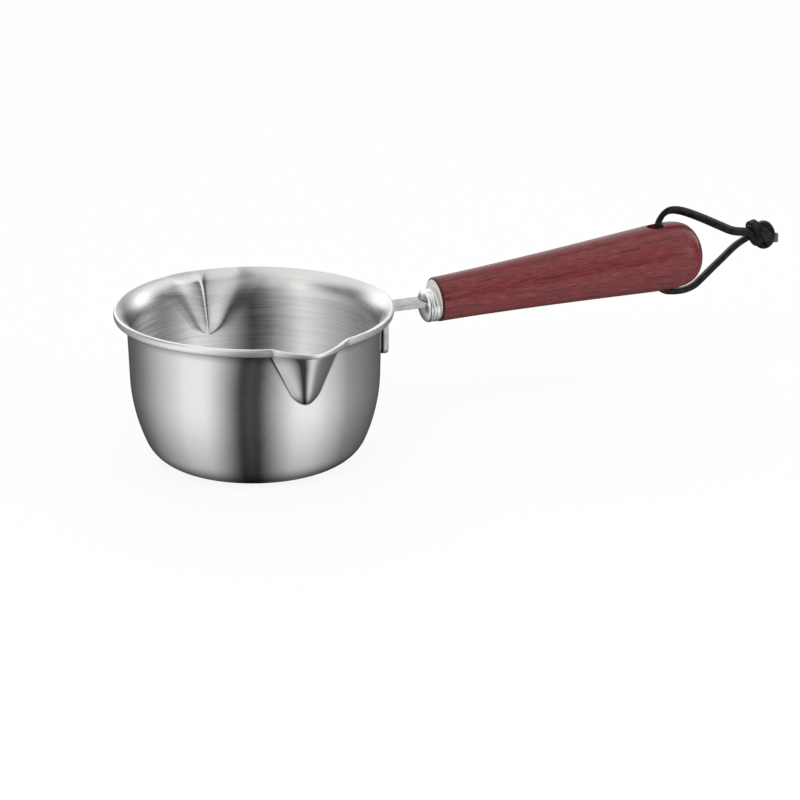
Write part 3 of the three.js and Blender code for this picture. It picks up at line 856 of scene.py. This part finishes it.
class WARMER_OT_ferrule(Operator):
    """Add the slotted cap at the front of the handle"""

    bl_idname = "warmer.ferrule"
    bl_label = "Ferrule"

    def execute(self, context):
        scene = context.scene
        strap, ferrule = scene.warmer_strap, scene.warmer_ferrule
        places = strap_shape(scene.warmer_pan, strap, ferrule)
        matrix = handle_matrix(places, scene.warmer_handle)
        radius = ferrule.diameter / 2
        inside = radius - ferrule.wall
        collar = ferrule.length - ferrule.collar_length
        steps = 16
        quarter = [pi / 2 * i / steps for i in range(steps + 1)]
        profile = [(ferrule.dome * (1 - cos(a)), radius * sin(a)) for a in quarter]
        groove = ferrule.groove_depth
        profile += [(ferrule.dome + groove, radius), (ferrule.dome + 2 * groove, radius - groove),
                    (ferrule.dome + 3 * groove, radius)]
        rise = ferrule.collar_rise
        profile += [(collar - rise, radius), (collar - rise / 2, radius + rise / 4), (collar, radius + rise),
                    (ferrule.length - rise / 2, radius + rise), (ferrule.length, radius + rise / 2),
                    (ferrule.length, inside)]
        profile += [(ferrule.wall + (ferrule.dome - ferrule.wall / 2) * (1 - cos(a)), inside * sin(a))
                    for a in quarter[::-1]]
        seat = matrix @ Matrix.Translation((ferrule.start, 0, -ferrule.drop))
        # the cap takes the lip's lighter tone, a painted highlight that brightens the cap
        steel = pressed_steel("Stainless cap, pressed and polished", scene.warmer_finish.lip,
                              roughness=0.3, grain=0.0006, grain_depth=0.000004)
        piece = turned("ferrule_cap", profile, 72, [steel], seat)
        slot = tang_slot("ferrule_slot", strap, -ferrule.length, ferrule.start + ferrule.dome, matrix)
        combine(piece, [slot], "DIFFERENCE")
        crease(piece, 35)
        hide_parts("ferrule")
        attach(piece, PAN_BODY)
        return {"FINISHED"}


class WARMER_OT_handle(Operator):
    """Add the turned wooden handle with its cross bore"""

    bl_idname = "warmer.handle"
    bl_label = "Handle"

    def execute(self, context):
        scene = context.scene
        strap, handle = scene.warmer_strap, scene.warmer_handle
        places = strap_shape(scene.warmer_pan, strap, scene.warmer_ferrule)
        matrix = handle_matrix(places, handle)
        start = places.handle_start
        edge = handle.edge
        small = handle_radius(handle, edge)
        # a narrow flat ring inside the rounded edge keeps the shading of the end face flat
        profile = [(start, 0.0), (start, small - 1.5 * edge), (start, small - edge)]
        profile += [(start + edge * (1 - cos(a)), small - edge + edge * sin(a))
                    for a in (pi / 12 * i for i in range(1, 6))]
        side_rows, end_rows, steepest = 40, 26, radians(80)
        side = handle.length + 2 * handle.end_round * log(cos(steepest))
        for i in range(side_rows):
            along = edge + (side - edge) * i / side_rows
            profile.append((start + along, handle_radius(handle, along)))
        for i in range(end_rows):
            along = handle.length + 2 * handle.end_round * log(cos(steepest * (1 - i / end_rows)))
            profile.append((start + along, handle_radius(handle, along)))
        profile.append((start + handle.length, 0.0))
        finish = scene.warmer_finish
        woods = [
            lacquered_wood(finish),
            end_grain("Rosewood, bare end grain", finish.wood_end, roughness=0.6),
            # the rounded edge of the small end is given a much darker colour than the wood, which draws a
            # dark line round the end face
            end_grain("Rosewood, darkened end edge", mixed(finish.wood_dark, (0, 0, 0), 0.6), roughness=0.4),
        ]
        piece = turned("wooden_handle", profile, 96, woods, matrix)
        end_face = start + edge / 100
        for polygon in piece.data.polygons:
            if polygon.center.x < end_face:
                polygon.material_index = 1
            elif polygon.center.x < start + edge:
                polygon.material_index = 2
        bore_at = start + handle.length - handle.bore_from_end
        reach = handle.taper_diameter
        bore_place = matrix @ Matrix.Translation((bore_at, 0, 0)) @ Matrix.Rotation(-pi / 2, 4, "Y")
        bore_radius = handle.bore_diameter / 2
        ease = handle.bore_ease
        mouth = handle_radius(handle, handle.length - handle.bore_from_end)
        way_out = [(mouth - ease + ease * sin(a), bore_radius + ease * (1 - cos(a)))
                   for a in (pi / 12 * i for i in range(7))]
        way_out += [(reach, bore_radius + ease), (reach, 0.0)]
        way_in = [(-along, radius) for along, radius in way_out[::-1]]
        bore = turned("bore", way_in + way_out, 40, matrix=bore_place)
        slot = tang_slot("tang_slot", strap, 0, strap.tang_length + CLEARANCE, matrix)
        combine(piece, [bore, slot], "DIFFERENCE")
        crease(piece, 40)
        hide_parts("wood_handle")
        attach(piece, PAN_BODY)
        return {"FINISHED"}


# Routes of the lace's two legs in millimetres from the middle of the bore: along the handle, across, along
# the bore
LEG_ROUTES = {
    "upper": (
        (1.3, 0, 0), (1.3, 0, 7), (1.3, 0, 13.4), (1.5, 0, 14.8), (2.6, 0, 16.8), (4.3, 0, 18.5),
        (7, 0, 19.4), (11.2, -0.1, 18.7), (16.6, -0.2, 16.4), (23.6, -0.4, 12.7), (30.1, -0.6, 9),
        (36.1, -0.9, 5.8), (42.9, -1.2, 4.1), (46.5, -1.2, 2.7),
    ),
    "lower": (
        (1.9, 0, 0), (1.9, 0, -7), (2.0, 0, -13.2), (2.4, 0, -14.3), (3.2, 0, -15), (4.8, 0, -15.6),
        (8.8, 0, -16.3), (13.2, 0.1, -16.4), (17.7, 0.2, -15.3), (22.1, 0.3, -12.5), (26.6, 0.5, -9.4),
        (32.2, 0.7, -5.6), (37.8, 1, -1.9), (42.5, 1.2, 0.2), (46, 1.2, 1.4),
    ),
}
# Turn of each leg's wide side at its start and end: at 0 degrees it lies across the handle, at 90 it faces
# sideways
LEG_TWISTS = {"upper": (10, 70), "lower": (0, 15)}


class WARMER_OT_lace(Operator):
    """Add the leather lace: two legs out of the bore and the knot that ties them"""

    bl_idname = "warmer.lace"
    bl_label = "Lace"

    def execute(self, context):
        scene = context.scene
        lace, handle, finish = scene.warmer_lace, scene.warmer_handle, scene.warmer_finish
        places = strap_shape(scene.warmer_pan, scene.warmer_strap, scene.warmer_ferrule)
        bore_at = places.handle_start + handle.length - handle.bore_from_end
        matrix = handle_matrix(places, handle) @ Matrix.Translation((bore_at, 0, 0))
        leather = dyed_leather("Leather lace, dyed black", finish.leather, roughness=0.42)
        cut = dyed_leather("Leather lace, cut end", finish.leather_cut, roughness=0.8)
        knot = self.knot(lace, leather, cut, matrix)
        section = rounded_section(lace.width, lace.thickness, lace.corner)
        replaced = {"upper": ("cord_upper_stretch", "cord_bore_stretch"), "lower": ("cord_lower_stretch",)}
        for name, route in LEG_ROUTES.items():
            line = curve_through(np.array(route) / 1000, 8)
            twist = np.radians(np.linspace(*LEG_TWISTS[name], len(line)))
            piece = swept(f"lace_{name}_leg", line, section, lambda i, point: self.wide_side(line, twist, i),
                          [leather], matrix)
            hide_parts(*replaced[name])
            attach(piece, LOOP_BODY)
        return {"FINISHED"}

    def wide_side(self, line, twist, i):
        """Direction of the wide side of a leg, in the plane of the loop when it is turned by 90 degrees."""
        ahead = line[min(i + 1, len(line) - 1)] - line[max(i - 1, 0)]
        in_plane = np.cross((0, 1, 0), ahead / np.linalg.norm(ahead))
        return np.array((0, 1, 0)) * cos(twist[i]) + in_plane * sin(twist[i])

    def knot(self, lace, leather, cut, matrix):
        """An overhand knot: a turn pulled flat over the front, a loop behind it, a core and two cut ends."""
        swollen = 1.15  # the lace is this much thicker where it turns inside the knot
        core_half, core_radius, core_place = 4.6, 3.9, (49.2, 0, 1.7)  # millimetres, as are the places below
        band = rounded_section(lace.band_width, lace.band_thickness, lace.corner)
        cord = rounded_section(lace.width, lace.thickness * swollen, lace.corner)
        turns = {
            # centre, half sizes, lean and yaw of the turn's axis in degrees
            "knot_front_turn": ((50.0, 0.0, 2.2), (5.6, 4.9), -40, 0, band),
            "knot_outer_loop": ((51.8, 0.6, 1.0), (4.6, 3.4), 0, 70, cord),
            "knot_inner_turn": ((47.4, 0.3, 2.7), (4.3, 3.6), -12, 0, cord),
        }
        pieces = []
        for name, (centre, halves, lean, yaw, section) in turns.items():
            tilt = Matrix.Rotation(radians(yaw), 3, "Z") @ Matrix.Rotation(radians(lean), 3, "Y")
            axis = np.array(tilt @ Vector((1, 0, 0)))
            up = np.array(tilt @ Vector((0, 0, 1))) * halves[0]
            out = np.array(tilt @ Vector((0, 1, 0))) * halves[1]
            angles = np.linspace(0, 2 * pi, 64, endpoint=False)
            line = np.array([np.array(centre) + up * cos(a) + out * sin(a) for a in angles]) / 1000
            pieces.append(swept(name, line, section, lambda i, point, axis=axis: axis, [leather], matrix,
                                closed=True))
        steps = 16
        core = [(-core_half * cos(pi * i / steps), core_radius * sin(pi * i / steps))
                for i in range(steps + 1)]
        core[0], core[-1] = (core[0][0], 0.0), (core[-1][0], 0.0)
        core = [(along / 1000, radius / 1000) for along, radius in core]
        seat = matrix @ Matrix.Translation(Vector(core_place) / 1000)
        pieces.append(turned("knot_core", core, 32, [leather], seat))
        tail = rounded_section(lace.tail_width, lace.tail_height, lace.corner)
        for name, route in {"lace_front_tail": ((50, -0.6, 0.4), (54, -0.8, -0.5), (57.4, -0.8, -0.8)),
                            "lace_back_tail": ((50, 1.8, 0.6), (54, 2.0, -0.4), (56.8, 2.0, -0.6))}.items():
            line = curve_through(np.array(route) / 1000, 8)
            pieces.append(swept(name, line, tail, lambda i, point: (0, 1, 0), [cut], matrix))
        for piece in pieces:
            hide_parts("cord_knot")
            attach(piece, LOOP_BODY)
        return pieces


# Stage

class WARMER_OT_stage(Operator):
    """Add the floor, the studio surroundings, the lamps and the camera"""

    bl_idname = "warmer.stage"
    bl_label = "Stage"

    def execute(self, context):
        scene = context.scene
        studio = scene.warmer_studio
        scene.view_settings.view_transform = "Standard"
        self.camera(scene, studio)
        self.floor(scene, studio)
        self.surroundings(scene, studio)
        self.lamps(scene)
        return {"FINISHED"}

    def camera(self, scene, studio):
        """A camera that looks at the pan from its left, a little above the rim."""
        azimuth, elevation = studio.camera_azimuth, studio.camera_elevation
        back = Vector((sin(azimuth) * cos(elevation), -cos(azimuth) * cos(elevation), sin(elevation)))
        data = bpy.data.cameras.new("camera")
        data.lens = studio.focal_length
        camera = bpy.data.objects.new("camera", data)
        camera.location = Vector((0, 0, scene.warmer_pan.rim_height)) + back * studio.camera_distance
        camera.rotation_euler = (pi / 2 - studio.camera_pitch, 0, studio.camera_heading)
        scene.collection.objects.link(camera)
        scene.camera = camera

    def floor(self, scene, studio):
        """White paper with a soft shadow. The steel doesn't mirror it, but the studio beyond it."""
        plain_white = 0.88  # share of the paper that the camera sees as pure white; the rest shows the shadow
        half = studio.floor_size / 2
        material, tree = new_material("Studio paper")
        tone = (*scene.warmer_finish.floor, 1)
        paper = node(tree, "ShaderNodeBsdfDiffuse", sockets={"Color": tone})
        white = node(tree, "ShaderNodeEmission", sockets={"Color": (1, 1, 1, 1), "Strength": 1.0})
        path = node(tree, "ShaderNodeLightPath").outputs
        seen = node(tree, "ShaderNodeMath", {0: path["Is Camera Ray"]}, {1: plain_white},
                    operation="MULTIPLY")
        mix = node(tree, "ShaderNodeMixShader", {"Fac": seen.outputs["Value"], 1: paper.outputs["BSDF"],
                                                 2: white.outputs["Emission"]})
        node(tree, "ShaderNodeOutputMaterial", {"Surface": mix.outputs["Shader"]})
        corners = [(-half, -half, 0), (half, -half, 0), (half, half, 0), (-half, half, 0)]
        floor = link_mesh("floor", corners, [(0, 1, 2, 3)], [material])
        floor.visible_glossy = False

    def surroundings(self, scene, studio):
        """White studio with tall soft panels round the pan, which the steel mirrors as upright bands."""
        # brightness by the way a wall faces that mirrors it, in degrees from the camera, right positive
        low_panels = ((-90, 0.06), (-60, 0.3), (-37, 0.98), (-29, 1.15), (-21, 1.0), (-9, 0.17), (-3, 0.09),
                      (3, 0.18), (15, 0.97), (23, 1.18), (32, 0.97), (46, 0.42), (90, 0.05))
        high_panels = ((-90, 1.0), (-72, 1.75), (-57, 0.35), (-45, 0.1), (-38, 0.1), (-31, 0.6),
                       (-24, 1.45), (-17, 0.95), (-9, 0.8), (-3, 0.25), (3, 0.0), (12, 0.1),
                       (21, 0.7), (32, 1.9), (40, 0.6), (47, 0.0), (54, 0.6), (59, 1.6),
                       (65, 2.2), (71, 1.2), (78, 0.4), (84, 0.8), (90, 1.2))
        top_panels = ((-90, 1.0), (-60, 1.2), (-24, 1.05), (-10, 0.75), (-2, 0.25), (4, 0.1), (9, 0.12),
                      (15, 0.5), (24, 1.0), (45, 1.1), (62, 1.5), (70, 1.1), (78, 0.4), (84, 0.8), (90, 1.0))
        # brightness by the tilt of a wall that mirrors it, from facing straight down to facing level
        tilts = ((-1.0, 0.04), (-0.9, 0.06), (-0.72, 0.14), (-0.38, 0.6), (-0.1, 0.97), (0.0, 1.0))
        # heights of a direction between which the low panels fade into the high ones, and those into the top
        horizon, overhead = (-0.05, 0.1), (0.35, 0.65)
        even_level = 0.66  # light of the studio on matt surfaces
        strongest = 2.6  # colours in a ramp end at 1, so levels are divided by this and multiplied again
        azimuth, elevation = studio.camera_azimuth, studio.camera_elevation
        front = Vector((sin(azimuth) * cos(elevation), -cos(azimuth) * cos(elevation), sin(elevation)))
        world = bpy.data.worlds.new("Studio surroundings")
        scene.world = world
        world.use_nodes = True
        tree = world.node_tree
        tree.nodes.clear()
        place = node(tree, "ShaderNodeTexCoord").outputs["Generated"]
        height = node(tree, "ShaderNodeSeparateXYZ", {"Vector": place}).outputs["Z"]
        facing = node(tree, "ShaderNodeVectorMath", {0: place}, {1: front}, operation="ADD").outputs["Vector"]
        even_facing = node(tree, "ShaderNodeVectorMath", {0: facing}, operation="NORMALIZE").outputs["Vector"]
        tilt = node(tree, "ShaderNodeSeparateXYZ", {"Vector": even_facing}).outputs["Z"]
        low = self.panels(tree, facing, azimuth, pi / 2, low_panels, strongest)
        high = self.panels(tree, place, azimuth, pi, high_panels, strongest)
        share_level = node(tree, "ShaderNodeMapRange", {"Value": tilt},
                           {"From Min": -1.0, "From Max": 0.0}).outputs["Result"]
        falloff = node(tree, "ShaderNodeValToRGB", {"Fac": share_level},
                       stops=[(z + 1, (level,) * 3) for z, level in tilts]).outputs["Color"]
        fading = node(tree, "ShaderNodeMix", {"A": low, "B": falloff}, {"Factor": 1.0}, data_type="RGBA",
                      blend_type="MULTIPLY").outputs[2]
        upper = node(tree, "ShaderNodeMapRange", {"Value": height},
                     {"From Min": horizon[0], "From Max": horizon[1]}).outputs["Result"]
        banded = node(tree, "ShaderNodeMix", {"Factor": upper, "A": fading, "B": high},
                      data_type="RGBA").outputs[2]
        top = node(tree, "ShaderNodeMapRange", {"Value": height},
                   {"From Min": overhead[0], "From Max": overhead[1]}).outputs["Result"]
        above = self.panels(tree, place, azimuth, pi, top_panels, strongest)
        mirrored = node(tree, "ShaderNodeMix", {"Factor": top, "A": banded, "B": above},
                        data_type="RGBA").outputs[2]
        path = node(tree, "ShaderNodeLightPath").outputs
        clear = node(tree, "ShaderNodeMath", {0: path["Is Camera Ray"], 1: path["Is Transmission Ray"]},
                     operation="MAXIMUM").outputs["Value"]
        even = node(tree, "ShaderNodeBackground", sockets={"Color": (1, 1, 1, 1), "Strength": even_level})
        studio_light = node(tree, "ShaderNodeBackground", {"Color": mirrored}, {"Strength": strongest})
        white = node(tree, "ShaderNodeBackground", sockets={"Color": (1, 1, 1, 1), "Strength": 1.0})
        lit = node(tree, "ShaderNodeMixShader", {"Fac": path["Is Glossy Ray"], 1: even.outputs["Background"],
                                                 2: studio_light.outputs["Background"]})
        shown = node(tree, "ShaderNodeMixShader", {"Fac": clear, 1: lit.outputs["Shader"],
                                                   2: white.outputs["Background"]})
        node(tree, "ShaderNodeOutputWorld", {"Surface": shown.outputs["Shader"]})

    def panels(self, tree, direction, azimuth, reach, levels, strongest):
        """Brightness by the turn of a direction about Z, within a reach to either side of the camera."""
        axes = node(tree, "ShaderNodeSeparateXYZ", {"Vector": direction}).outputs
        depth = node(tree, "ShaderNodeMath", {0: axes["Y"]}, {1: -1.0}, operation="MULTIPLY").outputs["Value"]
        around = node(tree, "ShaderNodeMath", {0: axes["X"], 1: depth}, operation="ARCTAN2").outputs["Value"]
        from_camera = node(tree, "ShaderNodeMath", {0: around}, {1: azimuth},
                           operation="SUBTRACT").outputs["Value"]
        wrapped = node(tree, "ShaderNodeMath", {0: from_camera}, {1: pi, 2: -pi},
                       operation="WRAP").outputs["Value"]
        share_round = node(tree, "ShaderNodeMapRange", {"Value": wrapped},
                           {"From Min": -reach, "From Max": reach}).outputs["Result"]
        stops = [(angle / 180 + 0.5, (level / strongest,) * 3) for angle, level in levels]
        light = node(tree, "ShaderNodeValToRGB", {"Fac": share_round}, stops=stops)
        light.color_ramp.interpolation = "CARDINAL"
        return light.outputs["Color"]

    def lamps(self, scene):
        """Two large soft lamps above the front corners and one behind."""
        aim = Vector((0.07, 0, 0.05))
        for name, place, size, power in (
            ("key_lamp", (-0.7, -0.9, 1.1), 0.9, 6.0),
            ("fill_lamp", (0.9, -0.8, 0.9), 0.9, 3.5),
            ("back_lamp", (0.2, 1.0, 1.1), 0.9, 3.0),
        ):
            data = bpy.data.lights.new(name, "AREA")
            data.size = size
            data.energy = power
            lamp = bpy.data.objects.new(name, data)
            lamp.location = place
            lamp.rotation_euler = (aim - Vector(place)).to_track_quat("-Z", "Y").to_euler()
            lamp.visible_glossy = False
            scene.collection.objects.link(lamp)


OPERATORS = (WARMER_OT_stage, WARMER_OT_lace, WARMER_OT_pan, WARMER_OT_strap, WARMER_OT_ferrule,
             WARMER_OT_handle)


class WARMER_PT_sidebar(Panel):
    """Lists the pieces of the butter warmer"""

    bl_idname = "WARMER_PT_sidebar"
    bl_label = "Butter Warmer"
    bl_space_type = "VIEW_3D"
    bl_region_type = "UI"
    bl_category = "Butter Warmer"

    def draw(self, context):
        for operator in OPERATORS:
            self.layout.operator(operator.bl_idname)


def register():
    for cls in (*SETTINGS.values(), *OPERATORS, WARMER_PT_sidebar):
        bpy.utils.register_class(cls)
    for name, cls in SETTINGS.items():
        setattr(bpy.types.Scene, name, PointerProperty(type=cls))


def unregister():
    for name in SETTINGS:
        delattr(bpy.types.Scene, name)
    for cls in (WARMER_PT_sidebar, *reversed(OPERATORS), *SETTINGS.values()):
        bpy.utils.unregister_class(cls)


def main():
    register()
    bpy.ops.warmer.stage()
    bpy.ops.warmer.lace()
    bpy.ops.warmer.pan()
    bpy.ops.warmer.strap()
    bpy.ops.warmer.ferrule()
    bpy.ops.warmer.handle()


if __name__ == "__main__":
    main()
